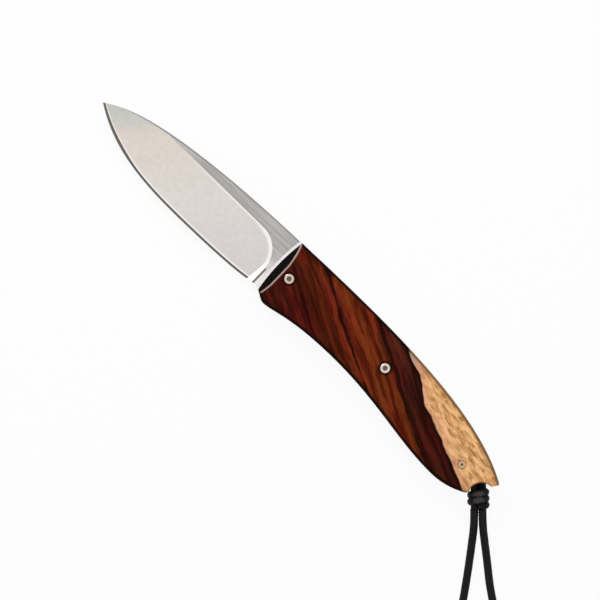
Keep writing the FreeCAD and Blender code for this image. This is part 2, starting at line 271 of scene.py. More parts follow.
pull_loop = braid("pull_loop", loop_line)
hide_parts("lanyard_cord")

# %% [markdown]
# ## The eye
# Inside the butt the same cord lies round the pin. Its two strands run on through the knot up to
# where the loop starts, so no cut end shows. One strand is described from the knot to the middle of
# the eye, and the other is its mirror image. The corners lie a little outside the eye's circle,
# because a spline cuts the corners of its points.

# %% Eye
eye_steps = 24
eye_gap = 0.1 * mm
neck_length = 2.2 * mm
neck_offset = 1.15 * mm
corner_reach = 1.12
shoulder_share = 0.75
crown_share = 0.45
pin_low, pin_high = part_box("lanyard_pin")
pin = Vector(((pin_low[0] + pin_high[0]) / 2, (pin_low[1] + pin_high[1]) / 2, middle_z))
pin_radius = (pin_high[0] - pin_low[0]) / 2
eye_radius = pin_radius + eye_gap + cord_diameter / 2
eye_corner = eye_radius * corner_reach
eye_back = (pin - knot).normalized()
eye_side = Vector((eye_back.y, -eye_back.x, 0))


def eye_strand(way):
    """Points of one strand, from the knot's outer end to the middle of the eye."""
    aside = way * neck_offset
    side = way * eye_side
    return [
        beside_knot(knot_half, aside),
        beside_knot(-knot_half, aside),
        beside_knot(-knot_half - neck_length, aside),
        beside_knot(-knot_half - 2 * neck_length, aside),
        pin + side * eye_radius,
        pin + side * eye_corner + eye_back * eye_corner * shoulder_share,
        pin + side * eye_corner * crown_share + eye_back * eye_corner,
    ]


eye_line = smooth_line(eye_strand(1) + eye_strand(-1)[::-1], eye_steps)
lanyard_eye = braid("eye", eye_line)
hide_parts("lanyard_eye")
print("eye and neck take", round(line_length(eye_line) / mm, 1), "mm of cord")

# %% [markdown]
# ## The knot
# The knot is a short barrel knot: two turns round both strands, whose ends tuck in between them. It
# could be tied point by point, but nobody sees its inside. A coil whose ends drop to a smaller
# radius looks the same.

# %% Knot
knot_steps = 10
wrap_turns = 2.1
points_per_turn = 12
tuck_points = 2
wrap_orbit = 2.25 * mm
tuck_orbit = 0.9 * mm
wrap_reach = knot_half - cord_diameter / 2
wrap_count = round(wrap_turns * points_per_turn)
upward = Vector((0, 0, 1))

wrap_points = []
for step in range(-tuck_points, wrap_count + tuck_points + 1):
    share = step / wrap_count
    angle = full_turn * wrap_turns * share
    orbit = wrap_orbit if 0 <= share <= 1 else tuck_orbit
    reach = wrap_reach * (2 * min(max(share, 0), 1) - 1)
    outward = knot_across * math.cos(angle) + upward * math.sin(angle)
    wrap_points.append(knot + knot_along * reach + outward * orbit)
lanyard_knot = braid("knot", smooth_line(wrap_points, knot_steps))
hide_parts("lanyard_knot")

# %% [markdown]
# ## What the cord is
# The loop is the only piece that can be laid another way. Both its ends belong to the knife. Eye
# and knot are the same cord, but they stay in their place.

# %% [markdown]
# ## Numbers in a material
# A finish is mostly arithmetic: how far a point lies from an edge, how steep its face is, how much a
# streak lightens it. Adding and linking Math nodes one by one hides that arithmetic. So one small
# class wraps a socket, and sums and products on it add the nodes. Colours go through Mix nodes,
# because a Math node would turn them grey.

# %% Shader maths
mix_first, mix_second, mix_result = 6, 7, 2


class Tone:
    """A socket in a node tree. Arithmetic on it adds Math nodes."""

    def __init__(self, tree, socket=None):
        self.tree = tree
        self.socket = socket

    def node(self, kind, settings=None, inputs=None, output=0):
        """Add a node: its settings first, then the values or links of its sockets."""
        made = self.tree.nodes.new("ShaderNode" + kind)
        for name, value in (settings or {}).items():
            if name == "stops":
                self.set_stops(made.color_ramp, value)
            else:
                setattr(made, name, value)
        for place, value in (inputs or {}).items():
            if isinstance(value, Tone):
                self.tree.links.new(value.socket, made.inputs[place])
            else:
                made.inputs[place].default_value = value
        return Tone(self.tree, made.outputs[output])

    @staticmethod
    def set_stops(ramp, stops):
        """Give a colour ramp its stops, from a list of places and colours."""
        while len(ramp.elements) < len(stops):
            ramp.elements.new(1.0)
        for element, (place, colour) in zip(ramp.elements, stops):
            element.position = place
            element.color = colour

    def maths(self, operation, first, second=0.0):
        """Add one Math node."""
        return self.node("Math", {"operation": operation}, {0: first, 1: second})

    def __add__(self, other):
        return self.maths("ADD", self, other)

    def __sub__(self, other):
        return self.maths("SUBTRACT", self, other)

    def __rsub__(self, other):
        return self.maths("SUBTRACT", other, self)

    def __mul__(self, other):
        return self.maths("MULTIPLY", self, other)

    def __abs__(self):
        return self.maths("ABSOLUTE", self)

    __radd__ = __add__
    __rmul__ = __mul__

    def most(self, other):
        """The larger of two values."""
        return self.maths("MAXIMUM", self, other)

    def least(self, other):
        """The smaller of two values."""
        return self.maths("MINIMUM", self, other)

    def step(self, low, high):
        """Smooth step from 0 at low to 1 at high; low may be the larger."""
        settings = {"interpolation_type": "SMOOTHSTEP"}
        return self.node("MapRange", settings, {0: self, 1: low, 2: high})

    def between(self, first, second, share=1.0):
        """Colour that is the first where this is 0, and a share of the second where it is 1."""
        inputs = {0: self * share, mix_first: first, mix_second: second}
        return self.node("Mix", {"data_type": "RGBA"}, inputs, mix_result)

    def split(self):
        """The three numbers of a vector."""
        made = self.node("SeparateXYZ", None, {0: self})
        return [Tone(self.tree, socket) for socket in made.socket.node.outputs]

    def into(self, shader, socket):
        """Link this to a socket of a shader or an output."""
        self.tree.links.new(self.socket, shader.inputs[socket])


print("a Mix node takes colours in its sockets", mix_first, "and", mix_second)

# %% [markdown]
# ## Colours
# Colours are easiest to choose as a screen shows them, from 0 to 255, but a shader works with linear
# light. One function turns the first into the second. Another multiplies a colour channel by channel,
# which darkens a finish or shifts its hue without a second set of colours.

# %% Colours
def tint(red, green, blue):
    """Colour as a screen shows it, 0 to 255, made linear for the shader."""
    linear = []
    for value in (red, green, blue):
        share = value / 255
        linear.append(share / 12.92 if share <= 0.04045 else ((share + 0.055) / 1.055) ** 2.4)
    return (*linear, 1.0)


def times(colour, factors):
    """Colour times a plain colour, channel by channel."""
    settings = {"data_type": "RGBA", "blend_type": "MULTIPLY"}
    inputs = {0: 1.0, mix_first: colour, mix_second: (*factors, 1.0)}
    return colour.node("Mix", settings, inputs, mix_result)


print("screen grey 128 is linear", round(tint(128, 128, 128)[0], 3))

# %% [markdown]
# ## Table
# The knife lies on a white table. Here that is one large square, a hair below the knife, so that the
# two never share a plane. It belongs to the stage and not to the knife.

# %% Table
table_half = 3.0
table_gap = 0.05 * mm

table_shape = bmesh.new()
bmesh.ops.create_grid(table_shape, x_segments=1, y_segments=1, size=table_half)
bmesh.ops.translate(table_shape, verts=table_shape.verts, vec=(0, 0, -table_gap))
table_mesh = bpy.data.meshes.new("table")
table_shape.to_mesh(table_mesh)
table_shape.free()
table = bpy.data.objects.new("table", table_mesh)
bpy.context.collection.objects.link(table)
print("table is", 2 * table_half, "m wide")

# %% [markdown]
# ## White of the table
# A lit surface is never quite white, and a shining one shows no shadow. So rays that are seen meet
# mostly plain white with a share of lit white, and a soft shadow is left. Light that falls on the table
# and bounces off it meets only the lit white, so the table doesn't work as a lamp.

# %% White of the table
plain_white_share = 0.92
white = (1.0, 1.0, 1.0, 1.0)
lit_white = (0.85, 0.85, 0.85, 1.0)


def seen_rays(tone):
    """1 for rays from the camera, from mirrors and through glass, and 0 for light that falls."""
    camera_rays = tone.node("LightPath", None, None, "Is Camera Ray")
    glossy_rays = tone.node("LightPath", None, None, "Is Glossy Ray")
    clear_rays = tone.node("LightPath", None, None, "Is Transmission Ray")
    return camera_rays.most(glossy_rays).most(clear_rays)


table_white = bpy.data.materials.new("white table")
table_white.use_nodes = True
paper = Tone(table_white.node_tree)
table_white.node_tree.nodes.remove(table_white.node_tree.nodes["Principled BSDF"])
lit = paper.node("BsdfDiffuse", None, {"Color": lit_white})
plain = paper.node("Emission", None, {"Color": white, "Strength": 1.0})
shown = paper.node("MixShader", None, {0: seen_rays(paper) * plain_white_share, 1: lit, 2: plain})
shown.into(table_white.node_tree.nodes["Material Output"], "Surface")
table_mesh.materials.append(table_white)
print("table shows", plain_white_share, "plain white")

# %% [markdown]
# ## Room
# Steel shows what stands around it. A pale room without walls is enough: camera and mirror rays see it
# white, while the light that it sheds on the knife stays at a weaker level. Otherwise either the
# steel would look dull or the wood washed out.

# %% Room
fill_strength = 0.45
seen_strength = 1.0

world = bpy.data.worlds.new("pale room")
bpy.context.scene.world = world
world.use_nodes = True
room = Tone(world.node_tree)
world.node_tree.nodes.remove(world.node_tree.nodes["Background"])
fill = room.node("Background", None, {"Color": white, "Strength": fill_strength})
seen = room.node("Background", None, {"Color": white, "Strength": seen_strength})
walls = room.node("MixShader", None, {0: seen_rays(room), 1: fill, 2: seen})
walls.into(world.node_tree.nodes["World Output"], "Surface")
print("room sheds", fill_strength, "and shows", seen_strength)

# %% [markdown]
# ## Lamps
# One wide lamp overhead lights the flat side of the knife evenly and lets its rounded rims fall dark. A
# weaker one from the side keeps the rims readable. The flat steel would mirror the overhead lamp as
# a hard patch, so mirror rays don't see it. They may see the side lamp, which only leaves small
# highlights on edges and screws.

# %% Lamps
def soft_lamp(name, place, size, watts, mirrored):
    """Square lamp that points at the pivot, and that shiny surfaces may mirror."""
    lamp = bpy.data.objects.new(name, bpy.data.lights.new(name, "AREA"))
    lamp.data.size = size
    lamp.data.energy = watts
    lamp.location = place
    lamp.rotation_euler = Vector(place).to_track_quat("Z", "Y").to_euler()
    lamp.visible_glossy = mirrored
    bpy.context.collection.objects.link(lamp)
    print(name, "at", place, "with", watts, "W")


soft_lamp("overhead lamp", (-0.15, 0.25, 0.9), size=0.7, watts=4.0, mirrored=False)
soft_lamp("side lamp", (-0.55, 0.15, 0.6), size=0.2, watts=1.5, mirrored=True)

# %% [markdown]
# ## Where a point lies
# A finish needs to know where on the piece it is and how steep the face is. Object coordinates are
# in the knife's own frame, so a value in millimetres can be compared with the drawing: the pivot is
# the origin, X runs to the butt, Y to the spine and Z up. The height part of a normal is 1 on faces that
# lie flat, and it stays the same when the blade folds, because the blade turns about Z. A face's own
# normal changes from facet to facet and keeps ground edges crisp. The rounded one suits soft edges.

# %% Where a point lies
def place_in_mm(tone):
    """X, Y and Z of the point in millimetres."""
    point = tone.node("TexCoord", None, None, "Object")
    return point.node("VectorMath", {"operation": "SCALE"}, {0: point, "Scale": 1 / mm}).split()


def face_normal(tone):
    """X, Y and Z of the face's own normal."""
    return tone.node("NewGeometry", None, None, "True Normal").split()


def rounded_normal(tone):
    """X, Y and Z of the normal that runs smoothly over the facets of a round."""
    return tone.node("NewGeometry", None, None, "Normal").split()


blade_tip_x = blade_low[0] / mm
print("blade runs from X", round(blade_tip_x, 1), "to", round(blade_high[0] / mm, 1), "mm")

# %% [markdown]
# ## Noise and bump
# Nothing on the knife is evenly coloured: grinding leaves lines, wood has streaks and pores, nylon has
# fibres. One noise texture serves for all of them, because stretching it turns its blobs into lines.
# The stretch says how many blobs fit in a millimetre, so a small number draws them out. The same
# noise can then lift the surface a little, which breaks up the highlights.

# %% Noise and bump
long_stretch = 0.05


def noise(place, stretch, detail=3.0, roughness=0.5):
    """Soft noise between 0 and 1 over three coordinates, each with its own stretch."""
    spot = place[0].node("CombineXYZ", None, dict(enumerate(place)))
    spot = spot.node("VectorMath", {"operation": "MULTIPLY"}, {0: spot, 1: stretch})
    grain_size = {"Scale": 1.0, "Detail": detail, "Roughness": roughness}
    return spot.node("TexNoise", None, {"Vector": spot, **grain_size})


def bump(height, strength, distance):
    """Normal that makes a value look like height."""
    inputs = {"Height": height, "Strength": strength, "Distance": distance}
    return height.node("Bump", None, inputs)


print("a stretch of", long_stretch, "makes streaks about", 1 / long_stretch, "mm long")

# %% [markdown]
# ## From a finish to the pieces
# Every finish starts as the standard shader with a few plain numbers. Nodes are added only for what
# varies over the surface. The model's meshes stay as they are, so a material goes into the slot of the
# object and not into its mesh.

# %% Finish and dress
def finish(name, numbers):
    """New material with plain numbers on its shader: the material, its tree and its shader."""
    material = bpy.data.materials.new(name)
    material.use_nodes = True
    shader = material.node_tree.nodes["Principled BSDF"]
    for socket, value in numbers.items():
        shader.inputs[socket].default_value = value
    return material, Tone(material.node_tree), shader


def dress(material, *names):
    """Give the model's own pieces a finish."""
    for name in names:
        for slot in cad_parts[name].material_slots:
            slot.link = "OBJECT"
            slot.material = material
    print(material.name, "on", ", ".join(names))


slot_count = sum(len(node.material_slots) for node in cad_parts.values())
print("the model has", slot_count, "material slots")

# %% [markdown]
# ## Regions of the blade
# The blade has five regions that meet at crisp lines: a darker brushed strip along the spine, a bright
# flat grind, the plunge where the wheel ran out, painted white as a highlight on its round, the cutting
# bevel, painted dark as a reflection of something dark, and the chamfered spine, painted darker as shade.
# They could be five materials, but the blade is one piece of steel. The face's tilt tells them apart: the
# strip lies flat, the grind tilts a few degrees, the cutting bevel about 17, the plunge about 30 and the
# chamfer 45. The stone took more off near the tip, so there the painted dark of the bevel is drawn wider,
# by its height above the blade's middle plane.

# %% Regions of the blade
flat_above = (0.9988, 0.9995)
bevel_below, bevel_above = (0.978, 0.97), (0.92, 0.94)
plunge_below, plunge_above = (0.93, 0.91), (0.76, 0.8)
chamfer_below = (0.78, 0.74)
bevel_height = 0.25
tip_bevel_rise = 0.028
tip_bevel_x = (-54.0, -68.0)
bevel_line = (0.003, -0.003)


def blade_regions(tone, x, z):
    """Masks of strip, bevel, plunge and chamfer, and the height of a point above the bevel."""
    level = abs(face_normal(tone)[2])
    bevel_top = bevel_height + tip_bevel_rise * x.step(*tip_bevel_x)
    above_bevel = abs(z - middle_z / mm) - bevel_top
    strip = level.step(*flat_above)
    bevel = level.step(*bevel_below) * level.step(*bevel_above)
    bevel = bevel.most(above_bevel.step(*bevel_line))
    plunge = level.step(*plunge_below) * level.step(*plunge_above)
    chamfer = level.step(*chamfer_below)
    return strip, bevel, plunge, chamfer, above_bevel


steepest_bevel = math.degrees(math.acos(bevel_above[1]))
print("faces up to", round(steepest_bevel), "degrees count as cutting bevel")

# %% [markdown]
# ## Strip along the spine
# The flats beside the spine were never ground, only brushed, so faint lines run along them. Near the
# handle they are pale, and a narrow painted dark reflection, where the round of the plunge turns away
# from the light, crosses them where the grind ends. Towards the tip the strip fades into the grind. Each
# of these is a soft mask that lays another tone over the brushed steel, and each pair of numbers says
# where such a mask starts and where it is full.

# %% Strip along the spine
grind_height = 5.9
grind_rise = 0.01
heel_x = -7.6
# The narrow dark line behind the grind's end is a painted dark reflection.
dark_reflection_x = heel_x + 0.2
brushed_dark, brushed_light = tint(156, 152, 150), tint(188, 184, 182)
pale_steel, painted_dark_reflection, tip_grey = tint(238, 235, 233), tint(112, 107, 105), tint(190, 187, 184)
pale_x, pale_y = (-9.5, -7.0), (6.0, -8.0)
dark_reflection_edge, dark_reflection_y = (0.7, 0.25), (-1.8, -3.2)
beside_line = (-0.9, -0.4)
before_plunge, behind_tip = (heel_x - 4.0, heel_x - 9.0), (-48.0, -40.0)
tip_fade = (-40.0, -52.0)
soft_mix = (0.3, 0.7)


def below_grind(x, y):
    """How far a point lies below the line where the grind starts."""
    return grind_height + grind_rise * (heel_x - x) - y


def spine_strip(x, y, streaks):
    """Colour of the flats beside the spine."""
    strip = streaks.step(*soft_mix).between(brushed_dark, brushed_light)
    pale = x.step(*pale_x) * y.step(*pale_y)
    strip = pale.between(strip, pale_steel)
    # Painted dark reflection of the plunge's round, just behind the grind's end.
    dark_reflection = abs(x - dark_reflection_x).step(*dark_reflection_edge) * y.step(*dark_reflection_y)
    strip = dark_reflection.between(strip, painted_dark_reflection)
    beside_grind = below_grind(x, y).step(*beside_line) * x.step(*before_plunge) * x.step(*behind_tip)
    strip = beside_grind.between(strip, brushed_dark, share=0.7)
    return x.step(*tip_fade).between(strip, tip_grey, share=0.7)


print("the grind starts", grind_height, "mm above the pivot's height")

# %% [markdown]
# ## Flat grind
# The grind mirrors the room, and its tone drifts along the blade: greyer at the tip, where the curve of
# the edge turns it, and warmer behind. A colour ramp along the blade gives that drift, on a slant that
# follows the tip. Painted highlights mark where the grind meets the strip, the cutting bevel and the
# plunge, where the face bends and catches the light. Around the plunge that highlight follows a quarter
# of a circle.

# %% Flat grind
tone_slant = 0.9
grind_tones = [
    (0.0, tint(192, 193, 188)),
    (0.12, tint(200, 199, 193)),
    (0.22, tint(218, 208, 199)),
    (0.6, tint(218, 213, 208)),
    (1.0, tint(212, 206, 206)),
]
duller, brighter = (0.97, 0.97, 0.97), (1.03, 1.03, 1.03)
upper_line, upper_line_x = (0.75, 0.3), (-54.0, -32.0)
lower_line = (0.045, 0.025)
# These three whites are painted highlights along the grind's edges.
grind_line_highlight, round_highlight_white, bevel_line_highlight = tint(240, 236, 233), tint(248, 246, 245), tint(244, 241, 238)
plunge_radius = 9.0
round_highlight_band = (plunge_radius - 1.5, plunge_radius - 0.6)
round_highlight_x = (-20.0, -13.5)


def distance(first, second):
    """Length of two steps at right angles."""
    return first.maths("SQRT", first * first + second * second)


def highlighted_round(x, y):
    """Mask of the painted highlight along the round of the plunge."""
    past_x = (x - (heel_x - plunge_radius)).most(0.0)
    past_y = (y - (grind_height - plunge_radius)).most(0.0)
    return distance(past_x, past_y).step(*round_highlight_band) * x.step(*round_highlight_x)


def flat_grind(x, y, mottle, above_bevel):
    """Colour of the ground faces, with painted highlights along their edges."""
    reach = {0: x - tone_slant * y, 1: blade_tip_x, 2: heel_x}
    ground = x.node("ValToRGB", {"stops": grind_tones}, {0: x.node("MapRange", None, reach)})
    ground = mottle.step(*soft_mix).between(times(ground, duller), times(ground, brighter))
    # Painted highlights along the grind line, the plunge's round and the top of the cutting bevel.
    upper = below_grind(x, y).step(*upper_line) * x.step(*upper_line_x)
    ground = upper.between(ground, grind_line_highlight, share=0.9)
    ground = highlighted_round(x, y).between(ground, round_highlight_white, share=0.85)
    return above_bevel.step(*lower_line).between(ground, bevel_line_highlight, share=0.8)


print("the plunge's round has a radius of", plunge_radius, "mm")

# %% [markdown]
# ## Blade steel
# The regions and their colours now come together in one material. Brushing left lines along the strip
# and grinding left lines across the grind, so the bump changes its direction between the two. The strip
# and the honed bevel are rougher than the grind. The first number of a roughness is the plain finish.

# %% Blade steel
strip_lines, ground_mottle, cross_lines = (long_stretch, 2.2, 1.0), (0.7, 0.7, 1.0), (5.0, 0.12, 1.0)
# The plunge's white is a painted highlight, the bevel's grey a painted dark reflection, the chamfer's grey
# painted shade.
painted_plunge_highlight, painted_bevel_reflection, painted_chamfer_shade = tint(240, 238, 237), tint(106, 101, 98), tint(150, 147, 145)
satin = 0.24


def blade_steel():
    """Satin steel: brushed strip and bright grind, with painted highlights, a painted dark reflection on
    the bevel and painted shade on the chamfer.
    """
    material, tone, shader = finish("satin blade steel", {"Metallic": 1.0})
    x, y, z = place_in_mm(tone)
    strip, bevel, plunge, chamfer, above_bevel = blade_regions(tone, x, z)
    streaks = noise((x, y, z), strip_lines, detail=4.0, roughness=0.6)
    mottle = noise((x, y, z), ground_mottle, detail=4.0, roughness=0.6)
    scratches = noise((x, y, z), cross_lines, detail=2.0)

    steel = strip.between(flat_grind(x, y, mottle, above_bevel), spine_strip(x, y, streaks))
    # Painted highlight on the plunge, painted dark reflection on the bevel, painted shade on the chamfer.
    steel = plunge.between(steel, painted_plunge_highlight)
    steel = bevel.between(steel, painted_bevel_reflection)
    steel = chamfer.between(steel, painted_chamfer_shade)
    steel.into(shader, "Base Color")
    (satin + 0.1 * strip + 0.08 * mottle + 0.15 * bevel).into(shader, "Roughness")
    lines = strip * streaks + (1 - strip) * scratches
    bump(lines, strength=0.12, distance=0.05 * mm).into(shader, "Normal")
    return material


dress(blade_steel(), "blade")

# %% [markdown]
# ## Liners, spring, pins and washers
# The liners are polished bright, and the lip in front of the wood shows it. The back spring and its
# pins are satin with lines along the spring. The washers are bronze. Along the spine, liners and
# spring were ground flush together, so their edges are rougher and darker than their faces. These
# pieces are small and mostly hidden, so one function makes the metal with three choices: how bright,
# how rough, and how its lines are stretched.

# %% Inner metal
standing_face = (0.8, 0.4)
ground_shade = (0.6, 0.6, 0.6)
line_mix = (0.25, 0.75)


def lined_metal(name, dark, light, rough, stretch):
    """Metal with fine lines and with darker ground edges."""
    material, tone, shader = finish(name, {"Metallic": 1.0})
    edge = abs(face_normal(tone)[2]).step(*standing_face)
    lines = noise(place_in_mm(tone), stretch)
    metal = lines.step(*line_mix).between(dark, light)
    edge.between(metal, times(metal, ground_shade)).into(shader, "Base Color")
    (rough + 0.1 * lines + 0.16 * edge).into(shader, "Roughness")
    bump(lines, strength=0.1, distance=0.04 * mm).into(shader, "Normal")
    return material


liner_dark, liner_light = tint(222, 220, 218), tint(246, 244, 242)
liner_steel = lined_metal("polished liner steel", liner_dark, liner_light, 0.14, (0.15, 3.0, 3.0))
dress(liner_steel, "lower_liner", "upper_liner")
spring_dark, spring_light = tint(176, 174, 172), tint(206, 204, 201)
spring_steel = lined_metal("satin spring steel", spring_dark, spring_light, 0.26, (0.1, 4.0, 4.0))
dress(spring_steel, "back_spring", "spring_mid_pin", "spring_tail_pin", "pivot_barrel")
bronze_dark, bronze_light = tint(176, 122, 66), tint(206, 152, 92)
bronze = lined_metal("washer bronze", bronze_dark, bronze_light, 0.3, (1.5, 1.5, 1.5))
dress(bronze, "lower_washer", "upper_washer")

# %% [markdown]
# ## Screws and lanyard pin
# The screws are bright turned steel with a hexagon socket, and the socket is painted dark as the shade
# inside it. The lanyard pin is duller, cut flush with the wood, with a small dot of painted shade in the
# middle of its end. Turning leaves fine rings, so the lines follow the distance from the screw's own
# axis instead of a direction.

# %% Screws and pin
ring_stretch = (9.0, 1.0, 1.0)
hole_rim = 0.15
socket_radius, pin_dot_radius = 0.85, 0.5
turned = 0.22


def from_axis(x, y, node):
    """Distance from a screw's or pin's axis."""
    low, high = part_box(node)
    return distance(x - (low[0] + high[0]) / 2 / mm, y - (low[1] + high[1]) / 2 / mm)


def turned_steel(name, node, dark, light, darkening, hole):
    """Turned steel with rings about a screw's or pin's axis, and with painted shade at its middle."""
    material, tone, shader = finish(name, {"Metallic": 1.0})
    x, y = place_in_mm(tone)[:2]
    radius = from_axis(x, y, node)
    rings = noise((radius, 0.0, 0.0), ring_stretch, detail=2.0)
    metal = rings.step(*soft_mix).between(dark, light)
    socket = radius.step(hole, hole - hole_rim)
    # Painted shade at the middle: the screw's socket and the pin's dot.
    socket.between(metal, darkening).into(shader, "Base Color")
    (turned + 0.1 * rings + 0.3 * socket).into(shader, "Roughness")
    bump(rings, strength=0.1, distance=0.03 * mm).into(shader, "Normal")
    return material


screw_tones = {
    "pivot_screw": (tint(184, 168, 154), tint(222, 208, 194)),
    "mid_screw": (tint(200, 184, 170), tint(234, 222, 208)),
}
# Painted shade inside the screws' sockets.
painted_socket_shade = tint(126, 110, 96)
for screw, (dark, light) in screw_tones.items():
    upper, lower = "upper_" + screw, "lower_" + screw
    dress(turned_steel(screw + " steel", upper, dark, light, painted_socket_shade, socket_radius), lower, upper)
# The pin's third tone is painted shade in the dot at its middle.
pin_tones = (tint(176, 152, 128), tint(212, 188, 164), tint(104, 78, 58))
dress(turned_steel("pin steel", "lanyard_pin", *pin_tones, pin_dot_radius), "lanyard_pin")

# %% [markdown]
# ## Grain of the wood
# The scales are cut slantwise from a board where red-brown heartwood meets pale sapwood, so the grain
# crosses the handle at an angle and the butt is light. Two coordinates describe that: one along the
# grain and one across it. Straight bands would look painted on, so slow noise bends the grain and
# quicker noise ripples it. Near the butt the grain also turns a little.

# %% Grain of the wood
grain_slope = 0.54
noise_middle = 0.5
butt_x, butt_turn = 62.0, 0.11
bend_stretch, bend_reach = (0.035, 0.08, 0.12), 2.0
ripple_stretch, ripple_reach = (0.2, 0.5, 0.3), 1.4


def wood_grain(x, y, z):
    """Way along the grain, way across it, and the small ripple in it."""
    along = x - grain_slope * y
    across = y + grain_slope * x - butt_turn * (x - butt_x).most(0.0)
    bend = noise((along, across, z), bend_stretch, detail=2.0) - noise_middle
    ripple = noise((along, across, z), ripple_stretch) - noise_middle
    return along, across + bend_reach * bend + ripple_reach * ripple, ripple


print("grain slants by", round(math.degrees(math.atan(grain_slope))), "degrees")

# %% [markdown]
# ## Heartwood
# A colour ramp across the grain gives the broad bands of the red-brown wood. One band near the border
# is deeper towards the butt. Noise that is long along the grain adds warm and cool patches, light and dark
# streaks and short dark pores. Streaks and patches multiply the bands' colour, so they stay the same wood.

# %% Heartwood
heartwood_bands = [
    (-16.0, tint(58, 12, 8)),
    (-2.0, tint(80, 24, 16)),
    (6.0, tint(73, 21, 7)),
    (11.2, tint(100, 33, 15)),
    (14.6, tint(105, 41, 17)),
    (19.0, tint(110, 40, 15)),
    (21.4, tint(93, 31, 11)),
    (23.6, tint(106, 41, 18)),
    (25.4, tint(60, 17, 10)),
    (27.4, tint(76, 31, 20)),
    (30.2, tint(48, 15, 8)),
    (33.0, tint(40, 12, 7)),
]
band_low, band_high = heartwood_bands[0][0], heartwood_bands[-1][0]
deep_across, deep_along, deep_red = (24.4, 25.4), (40.0, 62.0), tint(50, 12, 6)
patch_stretch, cool, warm = (0.05, 0.16, 0.2), (0.85, 1.1, 0.9), (1.12, 0.9, 1.1)
dark_streak, light_streak = (0.52, 0.4, 0.4), (1.45, 1.45, 1.45)
patch_mix, streak_mix = (0.4, 0.6), (0.38, 0.62)
pore_edge, pore_brown = (0.42, 0.25), tint(26, 6, 3)


def heartwood(place, streaks, pores):
    """Colour of the red-brown wood, from the place in its grain."""
    along, ring, _ = place
    stops = [((at - band_low) / (band_high - band_low), colour) for at, colour in heartwood_bands]
    share = ring.node("MapRange", None, {0: ring, 1: band_low, 2: band_high})
    heart = ring.node("ValToRGB", {"stops": stops}, {0: share})
    deep_band = ring.step(*deep_across) * along.step(*deep_along)
    heart = deep_band.between(heart, deep_red, share=0.6)
    patches = noise(place, patch_stretch)
    heart = patches.step(*patch_mix).between(times(heart, cool), times(heart, warm))
    heart = streaks.step(*streak_mix).between(times(heart, dark_streak), times(heart, light_streak))
    return pores.step(*pore_edge).between(heart, pore_brown, share=0.4)


print("heartwood has", len(heartwood_bands), "bands over", band_high - band_low, "mm")

# %% [markdown]
# ## Dark veins
# A few nearly black veins follow the grain. They could be more stops in the ramp, but then each would
# keep one width. A distance from the vein's middle lets noise swell and narrow it along the way.

# %% Dark veins
veins = [(-3.0, 0.55, 0.45), (2.2, 0.55, 0.6), (13.2, 1.05, 0.92), (24.7, 0.75, 0.8)]
vein_black = tint(14, 3, 1)
vein_core = 0.4
swell_stretch = (0.12, 0.1, 0.2)


def veined(heart, place):
    """Heartwood with its dark veins."""
    ring = place[1]
    swell = noise(place, swell_stretch, detail=2.0) - noise_middle
    for middle, half_width, strength in veins:
        off_vein = abs(ring - middle) - 2.0 * half_width * swell
        vein = off_vein.step(half_width, vein_core * half_width)
        heart = vein.between(heart, vein_black, share=strength)
    return heart


widest_vein = 2 * max(half_width for _, half_width, _ in veins)
print(len(veins), "veins, the widest", widest_vein, "mm")

# %% [markdown]
# ## Border of the sapwood
# Heartwood and sapwood meet at a sharp, winding border. It follows the grain, and a sine wave along the
# handle winds it. The wave fades out towards the butt, where the border runs straight.

# %% Border of the sapwood
sapwood_start = 32.0
wave_height, wave_length = 0.9, 14.0
wave_x, wave_fade = 46.0, (66.0, 54.0)


def past_border(x, ring):
    """How far a point lies past the border, on the side of the sapwood."""
    wave = x.maths("SINE", (wave_x - x) * (full_turn / wave_length))
    return ring - sapwood_start + wave_height * wave * x.step(*wave_fade)


print("border winds", wave_height, "mm to either side")

# %% [markdown]
# ## Sapwood
# The pale wood is figured differently: short brown strokes and fine lines in loose crowds, on a blotchy
# straw-coloured ground, and its grain lies nearer the handle's own direction. It is rosy beside the
# heartwood and mauve at its front tip. Several layers of noise at different sizes make that, because a
# single one would repeat itself visibly.

# %% Sapwood
sap_grain_slope = 0.2
sap_ripple = 0.8
blotch_stretch, crowd_stretch = (0.2, 0.5, 0.4), (0.1, 0.25, 0.2)
stroke_stretch, line_stretch = (0.28, 0.9, 0.5), (0.18, 1.3, 1.0)
straw_light, straw_dark = tint(246, 190, 133), tint(206, 153, 100)
stroke_brown, line_brown, gleam = tint(164, 110, 56), tint(128, 86, 44), tint(252, 204, 146)
rosy, mauve = tint(224, 158, 132), tint(186, 152, 146)
blotch_mix, stroke_mix, gleam_mix = (0.36, 0.62), (0.52, 0.64), (0.46, 0.36)
fine_mix, crowd_mix, butt_crowd = (0.5, 0.6), (0.38, 0.56), 0.1
butt_crowd_x, rosy_width, mauve_x = (58.0, 72.0), (4.0, 0.0), (47.5, 43.5)


def sapwood(x, y, z, ripple, border):
    """Colour of the pale wood."""
    place = (x - sap_grain_slope * y, y + sap_grain_slope * x + sap_ripple * ripple, z)
    blotch = noise(place, blotch_stretch, detail=5.0, roughness=0.6)
    crowds = noise(place, crowd_stretch, detail=2.0)
    strokes = noise(place, stroke_stretch)
    lines = noise(place, line_stretch, detail=4.0, roughness=0.6)
    sap = blotch.step(*blotch_mix).between(straw_light, straw_dark)
    sap = strokes.step(*stroke_mix).between(sap, stroke_brown, share=0.8)
    crowded = (crowds + butt_crowd * x.step(*butt_crowd_x)).step(*crowd_mix)
    sap = (lines.step(*fine_mix) * crowded).between(sap, line_brown, share=0.5)
    sap = strokes.step(*gleam_mix).between(sap, gleam, share=0.6)
    sap = border.step(*rosy_width).between(sap, rosy, share=0.4)
    return x.step(*mauve_x).between(sap, mauve, share=0.8)


print("sapwood's grain slants by", round(math.degrees(math.atan(sap_grain_slope))), "degrees")

